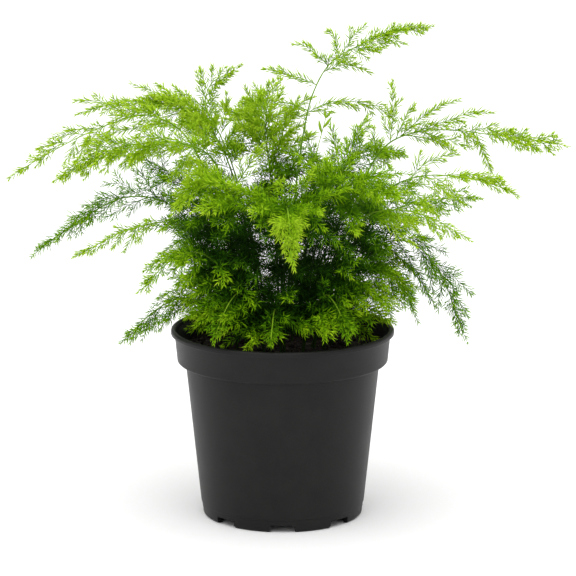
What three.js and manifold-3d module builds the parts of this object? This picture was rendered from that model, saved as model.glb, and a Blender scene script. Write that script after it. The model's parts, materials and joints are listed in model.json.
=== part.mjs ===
// A potted asparagus fern: a plastic nursery pot, its soil, and feathery fronds on wiry stems.
// Millimetres, +Z up. The origin is the middle of the pot's foot, on the surface that it stands on.
import * as THREE from 'three';
import { mergeVertices } from 'three/addons/utils/BufferGeometryUtils.js';
import Module from 'manifold-3d';

// Pot
const POT_HEIGHT = 102;
const LIP_RADIUS = 60;
const LIP_DEPTH = 2.8;
const LIP_WIDTH = 2.7;
const COLLAR_BOTTOM_Z = 84;
const COLLAR_TOP_RADIUS = 58;
const COLLAR_BOTTOM_RADIUS = 56.6;
const WALL_TOP_RADIUS = 52.2;
const WALL_BOTTOM_RADIUS = 44.1;
const FOOT_BAND_Z = 6.9;
const FOOT_BAND_STEP = 0.4;
const FOOT_BAND_LEDGE = 0.3;
const FOOT_RADIUS = 42.3;
const FOOT_WIDTH = 2.2;
const FOOT_CHAMFER = 0.8;
const FLOOR_CHAMFER = 0.9;
const COLLAR_CORNER = 1;
const LIP_UNDERCUT = 0.4;
const WALL = 1.2;
const FLOOR_BOTTOM_Z = 2.4;
const FLOOR_TOP_Z = 3.7;
const POT_SIDES = 48;

// Drain slots around the foot
const SLOT_COUNT = 8;
const SLOT_WIDTH = 14;
const SLOT_HEIGHT = 3.9;
const SLOT_TAPER = 0.8;
const SLOT_INNER_RADIUS = 35;

// Soil
const SOIL_EDGE_Z = 89.5;
const SOIL_CROWN_RISE = 3;
const SOIL_SIDES = 32;
const GAP = 0.3;

// Stems and foliage
const STEM_BOTTOM_Z = 84;
const STEM_BASE_RADIUS = 0.95;
const STEM_TIP_RADIUS = 0.35;
const STEM_SIDES = 5;
const STEM_STEPS = 12;
const STEM_END = 0.98;
const STEM_HOLE_SIDES = 5;
const STEM_HOLE_RADIUS = 1.5;
const STEM_HOLE_LENGTH = 14;
const FOLIAGE_SIDES = 8;
const FOLIAGE_STEPS = 7;
const FOLIAGE_HALF_THICKNESS = 1.6;
const FOLIAGE_SAG = 0.16;
const FOLIAGE_FULLNESS = 0.62;
const FOLIAGE_TIP_WIDTH = 1.2;
const FOLIAGE_CLEARANCE = 0.9;

const COLOURS = {
  pot: { color: 0x2b2b2a, roughness: 0.55, metalness: 0 },
  soil: { color: 0x1b140e, roughness: 0.95, metalness: 0 },
  stem: { color: 0x5f8f2a, roughness: 0.6, metalness: 0 },
  lime: { color: 0x9ccb2c, roughness: 0.6, metalness: 0 },
  green: { color: 0x6aa51f, roughness: 0.6, metalness: 0 },
  dark: { color: 0x3c7418, roughness: 0.65, metalness: 0 },
};

// Each frond is the path of its stem: where its base stands in the soil, then points up to its tip.
// Foliage covers the path beyond the share `from`, and reaches `reach` to either side of it.
const FRONDS = [
  { name: 'left_long', tone: 'lime', from: 0.5, reach: 22,
    path: [[-15, 4], [-33, 6, 160], [-51, 7, 204], [-69, 6, 216], [-94, 3, 211], [-118, -1, 200],
      [-145, -6, 185]] },
  { name: 'left_front', tone: 'lime', from: 0.57, reach: 18,
    path: [[-17, -5], [-27, -8, 165], [-40, -17, 200], [-64, -26, 207], [-90, -36, 204],
      [-117, -45, 190]] },
  { name: 'left_back_high', tone: 'lime', from: 0.6, reach: 17,
    path: [[-12, 12], [-23, 30, 165], [-39, 50, 201], [-59, 67, 211], [-80, 81, 212]] },
  { name: 'back_left_high', tone: 'lime', from: 0.62, reach: 17,
    path: [[-5, 15], [-17, 19, 150], [-32, 22, 200], [-41, 25, 216], [-40, 27, 228], [-23, 30, 238]] },
  { name: 'back_high', tone: 'lime', from: 0.6, reach: 21,
    path: [[-1, 18], [-5, 28, 165], [-10, 44, 202], [-14, 67, 213], [-18, 98, 208]] },
  { name: 'tall', tone: 'lime', from: 0.55, reach: 19,
    path: [[5, 4], [6, 8, 165], [16, 8, 227], [24, 9, 242], [37, 10, 251], [53, 11, 258],
      [79, 14, 263]] },
  { name: 'right_long', tone: 'lime', from: 0.52, reach: 23,
    path: [[20, -1], [38, -2, 160], [52, -3, 199], [76, -6, 210], [94, -8, 210], [119, -11, 207],
      [149, -14, 204]] },
  { name: 'right_front', tone: 'green', from: 0.55, reach: 21,
    path: [[20, -9], [34, -12, 140], [52, -19, 178], [74, -31, 190], [98, -40, 190], [121, -46, 184]] },
  { name: 'right_back', tone: 'green', from: 0.45, reach: 21,
    path: [[16, 11], [33, 18, 134], [53, 27, 157], [78, 38, 164], [107, 49, 164]] },
  { name: 'right_front_low', tone: 'green', from: 0.5, reach: 17,
    path: [[15, -16], [26, -27, 143], [42, -40, 170], [68, -52, 175], [95, -61, 163]] },
  { name: 'right_drooping', tone: 'dark', from: 0.42, reach: 19,
    path: [[24, 3], [39, 2, 132], [59, -1, 150], [77, -4, 143], [89, -8, 122], [97, -10, 98]] },
  { name: 'right_back_low', tone: 'dark', from: 0.4, reach: 18,
    path: [[18, 15], [32, 24, 121], [48, 34, 128], [62, 42, 119], [72, 48, 104]] },
  { name: 'left_back', tone: 'dark', from: 0.42, reach: 21,
    path: [[-21, 6], [-37, 12, 132], [-60, 19, 165], [-86, 25, 168], [-110, 31, 154], [-137, 38, 134]] },
  { name: 'back_left', tone: 'dark', from: 0.45, reach: 19,
    path: [[-13, 17], [-27, 33, 138], [-43, 51, 160], [-60, 67, 173], [-78, 81, 180]] },
  { name: 'left_front_mid', tone: 'green', from: 0.42, reach: 20,
    path: [[-22, -7], [-38, -15, 144], [-56, -23, 163], [-79, -32, 162], [-107, -42, 150]] },
  { name: 'front_left_mid', tone: 'green', from: 0.42, reach: 20,
    path: [[-16, -13], [-30, -25, 136], [-45, -39, 151], [-59, -50, 148], [-72, -60, 136]] },
  { name: 'left_drooping', tone: 'dark', from: 0.4, reach: 19,
    path: [[-25, -1], [-40, -3, 113], [-54, -5, 119], [-69, -7, 112], [-84, -9, 97]] },
  { name: 'front_centre', tone: 'lime', from: 0.5, reach: 15,
    path: [[1, -14], [1, -26, 150], [2, -47, 174], [3, -73, 178], [5, -103, 157]] },
  { name: 'front_left', tone: 'lime', from: 0.55, reach: 17,
    path: [[-9, -12], [-18, -23, 160], [-30, -38, 185], [-43, -54, 189], [-55, -69, 180]] },
  { name: 'front_right', tone: 'green', from: 0.55, reach: 17,
    path: [[10, -12], [18, -22, 152], [31, -38, 184], [45, -54, 191], [60, -69, 185]] },
  { name: 'front_low_left', tone: 'green', from: 0.45, reach: 14,
    path: [[-8, -19], [-15, -28, 117], [-23, -38, 129], [-29, -46, 123], [-35, -53, 109]] },
  { name: 'front_low', tone: 'dark', from: 0.42, reach: 10,
    path: [[0, -22], [-2, -31, 112], [-4, -42, 121], [-5, -51, 117], [-6, -59, 108]] },
  { name: 'front_low_right', tone: 'green', from: 0.45, reach: 15,
    path: [[9, -20], [16, -29, 117], [23, -38, 128], [29, -46, 122], [34, -53, 109]] },
  { name: 'back_right_high', tone: 'green', from: 0.55, reach: 21,
    path: [[7, 15], [15, 27, 150], [29, 43, 179], [47, 63, 187], [68, 84, 182]] },
  { name: 'back_right', tone: 'green', from: 0.45, reach: 20,
    path: [[11, 20], [21, 37, 130], [34, 57, 151], [47, 78, 153], [58, 98, 141]] },
  { name: 'back_centre', tone: 'dark', from: 0.45, reach: 21,
    path: [[0, 24], [-1, 40, 135], [-3, 62, 160], [-5, 85, 163], [-7, 106, 153]] },
  { name: 'back_low_left', tone: 'dark', from: 0.42, reach: 19,
    path: [[-10, 23], [-19, 39, 117], [-29, 55, 127], [-39, 70, 119], [-47, 83, 103]] },
  { name: 'back_low_right', tone: 'dark', from: 0.42, reach: 18,
    path: [[8, 25], [12, 41, 115], [17, 57, 124], [21, 72, 117], [25, 85, 103]] },
];

// Young shoots that carry no foliage yet.
const SHOOTS = [
  { name: 'spear', path: [[13, -4], [22, -6, 112], [31, -9, 139]] },
  { name: 'new', path: [[-3, -3], [9, 2, 160], [24, 4, 219]] },
];

const wasm = await Module();
wasm.setup();

/** A manifold solid from a closed three.js geometry. */
function toSolid(geometry) {
  const bare = geometry.clone();
  bare.deleteAttribute('normal');
  bare.deleteAttribute('uv');
  const merged = mergeVertices(bare, 1e-4);
  return new wasm.Manifold(new wasm.Mesh({
    numProp: 3,
    vertProperties: new Float32Array(merged.attributes.position.array),
    triVerts: new Uint32Array(merged.index.array),
  }));
}

/** The three.js geometry of a manifold solid. */
function toGeometry(solid) {
  const mesh = solid.getMesh();
  const geometry = new THREE.BufferGeometry();
  geometry.setAttribute('position', new THREE.BufferAttribute(new Float32Array(mesh.vertProperties), 3));
  geometry.setIndex(new THREE.BufferAttribute(new Uint32Array(mesh.triVerts), 1));
  geometry.computeVertexNormals();
  return geometry;
}

/** A named sub-part with a finish from the list of colours. */
function namedMesh(name, geometry, finish) {
  const mesh = new THREE.Mesh(geometry, new THREE.MeshStandardMaterial(COLOURS[finish]));
  mesh.name = name;
  return mesh;
}

/** Points of a quarter or half turn in the profile plane, from angle a to angle b in degrees. */
function arc(x, y, radius, a, b, steps) {
  const points = [];
  for (let i = 0; i <= steps; i += 1) {
    const angle = THREE.MathUtils.degToRad(a + (b - a) * i / steps);
    points.push(new THREE.Vector2(x + radius * Math.cos(angle), y + radius * Math.sin(angle)));
  }
  return points;
}

/** A closed solid of revolution about Z from a profile of (radius, height) points. */
function turned(points, sides) {
  return new THREE.LatheGeometry(points, sides).rotateX(Math.PI / 2);
}

/** The pot's inner radius at a height inside its tapered wall. */
function innerWallRadius(z) {
  const share = (z - FOOT_BAND_Z) / (COLLAR_BOTTOM_Z - FOOT_BAND_Z);
  return THREE.MathUtils.lerp(WALL_BOTTOM_RADIUS, WALL_TOP_RADIUS, share) - WALL;
}

/** The pot's inner radius at a height inside its collar. */
function innerCollarRadius(z) {
  const share = (z - COLLAR_BOTTOM_Z) / (POT_HEIGHT - LIP_DEPTH - COLLAR_BOTTOM_Z);
  return THREE.MathUtils.lerp(COLLAR_BOTTOM_RADIUS, COLLAR_TOP_RADIUS, share) - WALL;
}

/** The pot's section, from the middle of its floor, round the outside and back down the inside. */
function potProfile() {
  const point = (r, z) => new THREE.Vector2(r, z);
  const lipBottomZ = POT_HEIGHT - LIP_DEPTH;
  const shoulderZ = COLLAR_BOTTOM_Z - WALL;
  const cornerRadius = COLLAR_BOTTOM_RADIUS - COLLAR_CORNER;
  return [
    point(0, FLOOR_BOTTOM_Z),
    point(FOOT_RADIUS - FOOT_WIDTH - FOOT_CHAMFER, FLOOR_BOTTOM_Z),
    point(FOOT_RADIUS - FOOT_WIDTH, 0),
    point(FOOT_RADIUS, 0),
    point(FOOT_RADIUS + FOOT_CHAMFER, FOOT_CHAMFER),
    point(WALL_BOTTOM_RADIUS - FOOT_BAND_STEP, FOOT_BAND_Z - FOOT_BAND_LEDGE),
    point(WALL_BOTTOM_RADIUS, FOOT_BAND_Z),
    point(WALL_TOP_RADIUS, COLLAR_BOTTOM_Z),
    point(cornerRadius, COLLAR_BOTTOM_Z),
    ...arc(cornerRadius, COLLAR_BOTTOM_Z + COLLAR_CORNER, COLLAR_CORNER, -45, 0, 1),
    point(COLLAR_TOP_RADIUS, lipBottomZ),
    point(LIP_RADIUS - LIP_UNDERCUT, lipBottomZ),
    ...arc(LIP_RADIUS - LIP_WIDTH / 2, POT_HEIGHT - LIP_WIDTH / 2, LIP_WIDTH / 2, -20, 180, 5),
    point(innerCollarRadius(lipBottomZ), lipBottomZ - LIP_UNDERCUT),
    point(innerCollarRadius(COLLAR_BOTTOM_Z), COLLAR_BOTTOM_Z + COLLAR_CORNER),
    point(innerWallRadius(shoulderZ), shoulderZ),
    point(innerWallRadius(FOOT_BAND_Z), FOOT_BAND_Z),
    point(innerWallRadius(FOOT_BAND_Z) - FLOOR_CHAMFER, FLOOR_TOP_Z),
    point(0, FLOOR_TOP_Z),
  ];
}

/** One cutter for a drain slot: a bar of trapezoid section that runs outwards through the foot. */
function drainSlot(turn) {
  const half = SLOT_WIDTH / 2;
  const section = new THREE.Shape([
    new THREE.Vector2(-half, -SLOT_HEIGHT),
    new THREE.Vector2(half, -SLOT_HEIGHT),
    new THREE.Vector2(half - SLOT_TAPER, SLOT_HEIGHT),
    new THREE.Vector2(-half + SLOT_TAPER, SLOT_HEIGHT),
  ]);
  const length = LIP_RADIUS - SLOT_INNER_RADIUS;
  const bar = new THREE.ExtrudeGeometry(section, { depth: length, bevelEnabled: false });
  bar.rotateX(Math.PI / 2);
  bar.translate(0, -SLOT_INNER_RADIUS, 0);
  bar.rotateZ(turn);
  return bar;
}

/** The pot, with its drain slots cut. */
function makePot() {
  let solid = toSolid(turned(potProfile(), POT_SIDES));
  for (let i = 0; i < SLOT_COUNT; i += 1) {
    solid = solid.subtract(toSolid(drainSlot(i * 2 * Math.PI / SLOT_COUNT)));
  }
  return namedMesh('pot', toGeometry(solid), 'pot');
}

/** Height of the soil's gently mounded surface at a radius. */
function soilHeight(radius) {
  const share = radius / innerCollarRadius(SOIL_EDGE_Z);
  return SOIL_EDGE_Z + SOIL_CROWN_RISE * (1 - share * share);
}

/** The soil's section: it fills the pot to a little below the rim, a small gap from the plastic. */
function soilProfile() {
  const point = (r, z) => new THREE.Vector2(r, z);
  const wall = (z) => innerWallRadius(z) - GAP;
  const edge = innerCollarRadius(SOIL_EDGE_Z) - GAP;
  const shoulderZ = COLLAR_BOTTOM_Z - WALL;
  return [
    point(0, FLOOR_TOP_Z + GAP),
    point(wall(FOOT_BAND_Z) - FLOOR_CHAMFER - GAP, FLOOR_TOP_Z + GAP),
    point(wall(FOOT_BAND_Z), FOOT_BAND_Z + GAP),
    point(wall(shoulderZ), shoulderZ),
    point(innerCollarRadius(COLLAR_BOTTOM_Z) - 2 * GAP, COLLAR_BOTTOM_Z + COLLAR_CORNER + GAP),
    point(edge, SOIL_EDGE_Z),
    point(edge * 2 / 3, soilHeight(edge * 2 / 3)),
    point(edge / 3, soilHeight(edge / 3)),
    point(0, soilHeight(0)),
  ];
}

/** A frond's line, with a level sideways direction and an upward normal at every point on it. */
class FrondLine {
  constructor(path) {
    const [[baseX, baseY], ...rest] = path;
    const points = [new THREE.Vector3(baseX, baseY, STEM_BOTTOM_Z)];
    rest.forEach((p) => points.push(new THREE.Vector3(...p)));
    this.curve = new THREE.CatmullRomCurve3(points, false, 'centripetal');
    const heading = points.at(-1).clone().sub(points.at(-3)).setZ(0).normalize();
    this.level = new THREE.Vector3(heading.y, -heading.x, 0);
  }

  /** The point, the sideways direction and the normal at a share of the line's length. */
  frameAt(share) {
    const origin = this.curve.getPointAt(share);
    const tangent = this.curve.getTangentAt(share);
    const side = this.level.clone().addScaledVector(tangent, -this.level.dot(tangent)).normalize();
    const normal = side.clone().cross(tangent);
    return { origin, side, normal };
  }

  /** Bends an upright unit cylinder onto the line; place(across, up, share) sets a point's offsets. */
  bend(sides, steps, from, to, place) {
    const geometry = new THREE.CylinderGeometry(1, 1, 1, sides, steps);
    const position = geometry.attributes.position;
    for (let i = 0; i < position.count; i += 1) {
      const along = position.getY(i) + 0.5;
      const frame = this.frameAt(from + (to - from) * along);
      const [across, up] = place(position.getX(i), position.getZ(i), along);
      const point = frame.origin.addScaledVector(frame.side, across).addScaledVector(frame.normal, up);
      position.setXYZ(i, point.x, point.y, point.z);
    }
    geometry.computeVertexNormals();
    return geometry;
  }
}

/** A stem thins evenly from its base to its tip. */
function stemRadius(share) {
  return THREE.MathUtils.lerp(STEM_BASE_RADIUS, STEM_TIP_RADIUS, share);
}

/** A tapered stem that ends just inside the tip of its spray. */
function makeStem(name, line) {
  const geometry = line.bend(STEM_SIDES, STEM_STEPS, 0, STEM_END, (x, z, along) => {
    const radius = stemRadius(along);
    return [x * radius, z * radius];
  });
  return namedMesh(`stem_${name}`, geometry, 'stem');
}

/** Half width of a spray's outline: broad a third of the way along, narrow at both ends. */
function sprayOutline(along, reach) {
  const swell = Math.sin(Math.PI * Math.pow(along, FOLIAGE_FULLNESS));
  return FOLIAGE_TIP_WIDTH + reach * Math.max(swell, 0);
}

/** A spray's simple solid: a thin sagging sheet that lies just above its stem. */
function makeFoliage(frond, line) {
  const lift = stemRadius(frond.from) + FOLIAGE_CLEARANCE + FOLIAGE_HALF_THICKNESS;
  const geometry = line.bend(FOLIAGE_SIDES, FOLIAGE_STEPS, frond.from, 1, (x, z, along) => {
    const halfWidth = sprayOutline(along, frond.reach);
    const across = x * halfWidth;
    const sag = FOLIAGE_SAG * Math.abs(across) * Math.abs(x);
    return [across, lift + z * FOLIAGE_HALF_THICKNESS - sag];
  });
  return namedMesh(`foliage_${frond.name}`, geometry, frond.tone);
}

/** The soil, with a hole where each stem goes in. */
function makeSoil(lines) {
  let solid = toSolid(turned(soilProfile(), SOIL_SIDES));
  lines.forEach((line) => {
    const depth = STEM_HOLE_LENGTH / line.curve.getLength();
    const hole = line.bend(STEM_HOLE_SIDES, 1, 0, depth, (x, z) => [
      x * STEM_HOLE_RADIUS,
      z * STEM_HOLE_RADIUS,
    ]);
    solid = solid.subtract(toSolid(hole));
  });
  return namedMesh('soil', toGeometry(solid), 'soil');
}

const fern = new THREE.Group();
fern.name = 'potted_asparagus_fern';
fern.add(makePot());

const lines = [];
FRONDS.forEach((frond) => {
  const line = new FrondLine(frond.path);
  lines.push(line);
  fern.add(makeStem(frond.name, line));
  fern.add(makeFoliage(frond, line));
});
SHOOTS.forEach((shoot) => {
  const line = new FrondLine(shoot.path);
  lines.push(line);
  fern.add(makeStem(`shoot_${shoot.name}`, line));
});
fern.add(makeSoil(lines));

export default fern;
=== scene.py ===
"""Looks of a potted asparagus fern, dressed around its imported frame.

Everything is in metres, +Z is up, and the pot stands on the floor at the origin. Each frond's stem is
read back from the frame, and its side branches and needles are grown along it from seeded numbers.
"""

import json
import logging
import math
from dataclasses import dataclass
from enum import Enum

import bpy
import numpy as np
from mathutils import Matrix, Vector

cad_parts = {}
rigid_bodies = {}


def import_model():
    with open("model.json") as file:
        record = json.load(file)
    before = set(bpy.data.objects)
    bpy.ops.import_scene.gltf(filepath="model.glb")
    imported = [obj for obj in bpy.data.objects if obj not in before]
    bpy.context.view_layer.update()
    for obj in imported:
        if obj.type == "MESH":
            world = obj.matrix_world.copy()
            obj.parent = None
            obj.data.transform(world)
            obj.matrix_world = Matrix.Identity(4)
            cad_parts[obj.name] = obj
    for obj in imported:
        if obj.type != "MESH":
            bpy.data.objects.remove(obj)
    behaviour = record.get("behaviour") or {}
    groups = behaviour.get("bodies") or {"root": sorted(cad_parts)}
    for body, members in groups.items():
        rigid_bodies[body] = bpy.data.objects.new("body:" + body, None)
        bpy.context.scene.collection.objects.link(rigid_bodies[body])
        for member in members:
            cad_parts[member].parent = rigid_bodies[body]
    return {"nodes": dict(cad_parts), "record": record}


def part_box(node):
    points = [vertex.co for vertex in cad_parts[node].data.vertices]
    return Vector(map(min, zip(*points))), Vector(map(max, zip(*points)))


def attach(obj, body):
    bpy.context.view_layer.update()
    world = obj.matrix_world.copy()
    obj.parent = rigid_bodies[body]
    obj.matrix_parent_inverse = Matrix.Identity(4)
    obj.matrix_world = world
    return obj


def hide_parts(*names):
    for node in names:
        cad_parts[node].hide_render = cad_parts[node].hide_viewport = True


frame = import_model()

LOG = logging.getLogger("fern")
MM = 0.001
ROOT = "root"
UP = np.array([0.0, 0.0, 1.0])


# ------------------------------------------------------------------------------------------ shaders


class Socket:
    """An output of a shader node that takes part in arithmetic."""

    def __init__(self, graph: "Graph", output: bpy.types.NodeSocket) -> None:
        """Wraps one output.

        Args:
            graph: The graph that the output belongs to.
            output: The node's output socket.
        """
        self.graph = graph
        self.output = output

    def _math(self, operation: str, first: "Value", second: "Value") -> "Socket":
        """Adds one Math node.

        Args:
            operation: The node's operation.
            first: Its first value.
            second: Its second value.

        Returns:
            The node's output.
        """
        return self.graph.node("ShaderNodeMath", {"operation": operation}, {0: first, 1: second})

    def __add__(self, other: "Value") -> "Socket":
        """This value plus another."""
        return self._math("ADD", self, other)

    __radd__ = __add__

    def __mul__(self, other: "Value") -> "Socket":
        """This value times another."""
        return self._math("MULTIPLY", self, other)

    __rmul__ = __mul__

    def __sub__(self, other: "Value") -> "Socket":
        """This value less another."""
        return self._math("SUBTRACT", self, other)

    def __rsub__(self, other: "Value") -> "Socket":
        """Another value less this one."""
        return self._math("SUBTRACT", other, self)


Value = Socket | float
Colour = tuple[float, float, float, float]


class Graph:
    """A material and its node tree."""

    def __init__(self, name: str) -> None:
        """Starts an empty material.

        Args:
            name: The material's name.
        """
        self.material = bpy.data.materials.new(name)
        self.material.use_nodes = True
        self.tree = self.material.node_tree
        self.tree.nodes.clear()

    def node(
        self, kind: str, settings: dict | None = None, values: dict | None = None, out: int | str = 0
    ) -> Socket:
        """Adds a node, sets it up and feeds its sockets.

        Args:
            kind: The node's type name.
            settings: Properties to set first; "stops" gives a ramp's (position, colour) pairs.
            values: Socket name or number to a constant or a Socket.
            out: The output to return.

        Returns:
            The chosen output.
        """
        made = self.tree.nodes.new(kind)
        for key, value in (settings or {}).items():
            if key == "stops":
                self._set_stops(made.color_ramp, value)
            else:
                setattr(made, key, value)
        for key, value in (values or {}).items():
            if isinstance(value, Socket):
                self.tree.links.new(value.output, made.inputs[key])
            else:
                made.inputs[key].default_value = value
        return Socket(self, made.outputs[out]) if len(made.outputs) else Socket(self, None)

    @staticmethod
    def _set_stops(ramp: bpy.types.ColorRamp, stops: list[tuple[float, Colour]]) -> None:
        """Gives a ramp its stops.

        Args:
            ramp: The ramp to fill.
            stops: Position and colour of each stop, in rising order.
        """
        while len(ramp.elements) < len(stops):
            ramp.elements.new(1.0)
        for element, (position, colour) in zip(ramp.elements, stops):
            element.position = position
            element.color = colour

    def ramp(self, value: Socket, stops: list[tuple[float, Colour]]) -> Socket:
        """Turns a value into a colour.

        Args:
            value: The value, from 0 to 1.
            stops: The ramp's stops.

        Returns:
            The colour.
        """
        return self.node("ShaderNodeValToRGB", {"stops": stops}, {"Fac": value})

    def mix(self, factor: Value, first: Socket | tuple, second: Socket | tuple) -> Socket:
        """Mixes two colours.

        Args:
            factor: Share of the second colour.
            first: The first colour.
            second: The second colour.

        Returns:
            The mixed colour.
        """
        return self.node(
            "ShaderNodeMix", {"data_type": "RGBA"}, {0: factor, 6: first, 7: second}, out=2
        )

    def noise(self, scale: float, detail: float = 3.0, roughness: float = 0.55) -> Socket:
        """Adds noise in object space.

        Args:
            scale: Cells per metre.
            detail: Octaves.
            roughness: How much the finer octaves count.

        Returns:
            The noise value, about 0.5 on average.
        """
        place = self.node("ShaderNodeTexCoord", out="Object")
        values = {"Vector": place, "Scale": scale, "Detail": detail, "Roughness": roughness}
        return self.node("ShaderNodeTexNoise", None, values)

    def attribute(self, name: str) -> Socket:
        """Reads a number stored on the mesh.

        Args:
            name: The attribute's name.

        Returns:
            Its value.
        """
        return self.node("ShaderNodeAttribute", {"attribute_name": name}, None, out="Fac")

    def finish(self, values: dict) -> bpy.types.Material:
        """Closes the graph with a Principled surface.

        Args:
            values: The surface's socket values.

        Returns:
            The finished material.
        """
        surface = self.node("ShaderNodeBsdfPrincipled", None, values)
        self.node("ShaderNodeOutputMaterial", None, {"Surface": surface})
        return self.material


def srgb(red: int, green: int, blue: int) -> Colour:
    """Turns an 8-bit screen colour into linear light.

    Args:
        red: Red, 0 to 255.
        green: Green, 0 to 255.
        blue: Blue, 0 to 255.

    Returns:
        The linear colour, opaque.
    """
    shares = (red / 255, green / 255, blue / 255)
    linear = (c / 12.92 if c <= 0.04045 else ((c + 0.055) / 1.055) ** 2.4 for c in shares)
    return (*linear, 1.0)


@dataclass(frozen=True)
class NeedleFinish:
    """Needles and twigs: a green set by each one's tone, which holds painted shade deep inside the plant,
    lighter towards its tip.
    """

    name: str = "fern_needles"
    bases: tuple = (
        (0.0, srgb(3, 16, 1)),
        (0.25, srgb(34, 78, 5)),
        (0.5, srgb(84, 136, 5)),
        (0.75, srgb(126, 174, 6)),
        (1.0, srgb(156, 196, 22)),
    )
    tips: tuple = (
        (0.0, srgb(8, 32, 2)),
        (0.25, srgb(56, 104, 8)),
        (0.5, srgb(112, 164, 10)),
        (0.75, srgb(156, 198, 22)),
        (1.0, srgb(188, 218, 60)),
    )
    roughness: float = 0.6
    specular: float = 0.05

    def material(self) -> bpy.types.Material:
        """Builds the material.

        Returns:
            The material.
        """
        graph = Graph(self.name)
        tone = graph.attribute("tone")
        along = graph.attribute("along")
        base = graph.ramp(tone, list(self.bases))
        tip = graph.ramp(tone, list(self.tips))
        values = {
            "Base Color": graph.mix(along, base, tip),
            "Roughness": self.roughness,
            "Specular IOR Level": self.specular,
        }
        return graph.finish(values)


@dataclass(frozen=True)
class StemFinish:
    """Wiry green stems: streaked, browner near the soil, lime near the tip, with painted shade inside the
    plant.
    """

    name: str = "fern_stems"
    light: Colour = srgb(98, 146, 22)
    dark: Colour = srgb(46, 92, 10)
    foot: Colour = srgb(58, 62, 24)
    young: Colour = srgb(158, 196, 40)
    # The colour of the painted shade deep inside the plant.
    shaded: Colour = srgb(14, 28, 5)
    roughness: float = 0.6

    def material(self) -> bpy.types.Material:
        """Builds the material.

        Returns:
            The material.
        """
        graph = Graph(self.name)
        height = graph.attribute("along")
        streak = graph.noise(900.0, 2.0)
        age = graph.node("ShaderNodeMapRange", None, {
            "Value": height, "From Min": 0.0, "From Max": 0.12, "To Min": 0.55, "To Max": 0.0,
        })
        youth = graph.node("ShaderNodeMapRange", None, {
            "Value": height, "From Min": 0.45, "From Max": 0.95, "To Min": 0.0, "To Max": 0.8,
        })
        green = graph.mix(graph.noise(160.0), self.dark, self.light)
        aged = graph.mix(youth, graph.mix(age, green, self.foot), self.young)
        bump = graph.node("ShaderNodeBump", None, {"Height": streak, "Strength": 0.25, "Distance": 0.0001})
        return graph.finish({
            # Painted shade: a low tone, deep inside the plant, mixes in the shaded colour.
            "Base Color": graph.mix(graph.attribute("tone"), self.shaded, aged),
            "Roughness": streak * 0.2 + (self.roughness - 0.1),
            "Specular IOR Level": 0.15,
            "Normal": bump,
        })


@dataclass(frozen=True)
class PlasticFinish:
    """Black moulded polypropylene with a fine matt grain and a faint dusty bloom."""

    name: str = "pot_plastic"
    colour: Colour = srgb(10, 10, 10)
    bloom: Colour = srgb(25, 25, 24)
    roughness: float = 0.47

    def material(self) -> bpy.types.Material:
        """Builds the material.

        Returns:
            The material.
        """
        graph = Graph(self.name)
        cloud = graph.noise(60.0, 5.0, 0.65)
        grain = graph.noise(1500.0, 2.0)
        bloom = graph.node("ShaderNodeMapRange", None, {
            "Value": cloud + grain * 0.3, "From Min": 0.5, "From Max": 0.85, "To Min": 0.0, "To Max": 0.6,
        })
        bump = graph.node("ShaderNodeBump", None, {"Height": grain, "Strength": 0.22, "Distance": 0.0003})
        return graph.finish({
            "Base Color": graph.mix(bloom, self.colour, self.bloom),
            "Roughness": cloud * 0.16 + grain * 0.08 + (self.roughness - 0.12),
            "Specular IOR Level": 0.22,
            "Normal": bump,
        })


@dataclass(frozen=True)
class SoilFinish:
    """Moist dark potting soil: brown-black with paler dry patches on its crumbs."""

    name: str = "potting_soil"
    wet: Colour = srgb(22, 17, 12)
    damp: Colour = srgb(46, 36, 27)
    dry: Colour = srgb(98, 88, 74)
    scale: float = 260.0

    def material(self) -> bpy.types.Material:
        """Builds the material.

        Returns:
            The material.
        """
        graph = Graph(self.name)
        patch = graph.noise(self.scale, 4.0, 0.65)
        speck = graph.noise(self.scale * 6, 3.0, 0.6)
        soil = graph.ramp(patch, [(0.35, self.wet), (0.62, self.damp), (0.8, self.dry)])
        shade = graph.mix(speck * 0.8, soil, self.wet)
        bump = graph.node("ShaderNodeBump", None, {"Height": speck, "Strength": 0.7, "Distance": 0.0006})
        return graph.finish({
            "Base Color": shade,
            "Roughness": patch * 0.3 + 0.62,
            "Specular IOR Level": 0.25,
            "Normal": bump,
        })


@dataclass(frozen=True)
class CrumbFinish:
    """Loose crumbs, bark and grit, each with its own shade of brown or grey."""

    name: str = "soil_crumbs"
    stops: tuple = (
        (0.0, srgb(20, 15, 11)),
        (0.55, srgb(50, 39, 29)),
        (0.8, srgb(84, 74, 58)),
        (1.0, srgb(150, 144, 132)),
    )

    def material(self) -> bpy.types.Material:
        """Builds the material.

        Returns:
            The material.
        """
        graph = Graph(self.name)
        grain = graph.noise(2200.0, 3.0)
        shade = graph.ramp(graph.attribute("tone"), list(self.stops))
        bump = graph.node("ShaderNodeBump", None, {"Height": grain, "Strength": 0.5, "Distance": 0.0004})
        return graph.finish({
            "Base Color": graph.mix(grain * 0.7, shade, srgb(18, 14, 10)),
            "Roughness": grain * 0.2 + 0.7,
            "Specular IOR Level": 0.25,
            "Normal": bump,
        })


@dataclass(frozen=True)
class FloorFinish:
    """A plain pale studio floor."""

    name: str = "studio_floor"
    colour: Colour = (0.86, 0.86, 0.86, 1.0)

    def material(self) -> bpy.types.Material:
        """Builds the material.

        Returns:
            The material.
        """
        graph = Graph(self.name)
        return graph.finish({"Base Color": self.colour, "Roughness": 0.9, "Specular IOR Level": 0.1})


# ------------------------------------------------------------------------------------------- meshes


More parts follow.
